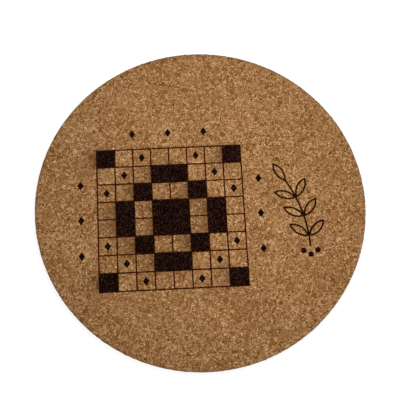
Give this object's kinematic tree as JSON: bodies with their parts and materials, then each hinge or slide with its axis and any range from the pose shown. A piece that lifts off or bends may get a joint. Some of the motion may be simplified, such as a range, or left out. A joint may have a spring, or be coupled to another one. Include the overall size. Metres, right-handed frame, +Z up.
{
  "type": "drink coaster",
  "caption": "Thin round cork coaster with a dark geometric lattice and a leafy sprig printed flush in its upper face; lies flat under a glass or cup.",
  "frame": {"origin": "centre of the flat underside that lies on the table", "axes": "+Z up out of the printed face, +Y towards the top of the print, +X towards the print's right"},
  "size_m": [0.1, 0.1, 0.003],
  "materials": {
    "cork": "matte bare agglomerated cork, warm brown with darker and lighter grains",
    "print": "matte brown-black print, soaked into the cork's face"
  },
  "bodies": {
    "root": {"cork_disc": "cork", "lattice_lines": "print", "dark_tiles": "print", "cell_diamonds": "print", "edge_diamonds": "print", "sprig_stem": "print", "sprig_leaves": "print", "sprig_berries": "print"}
  },
  "joints": []
}
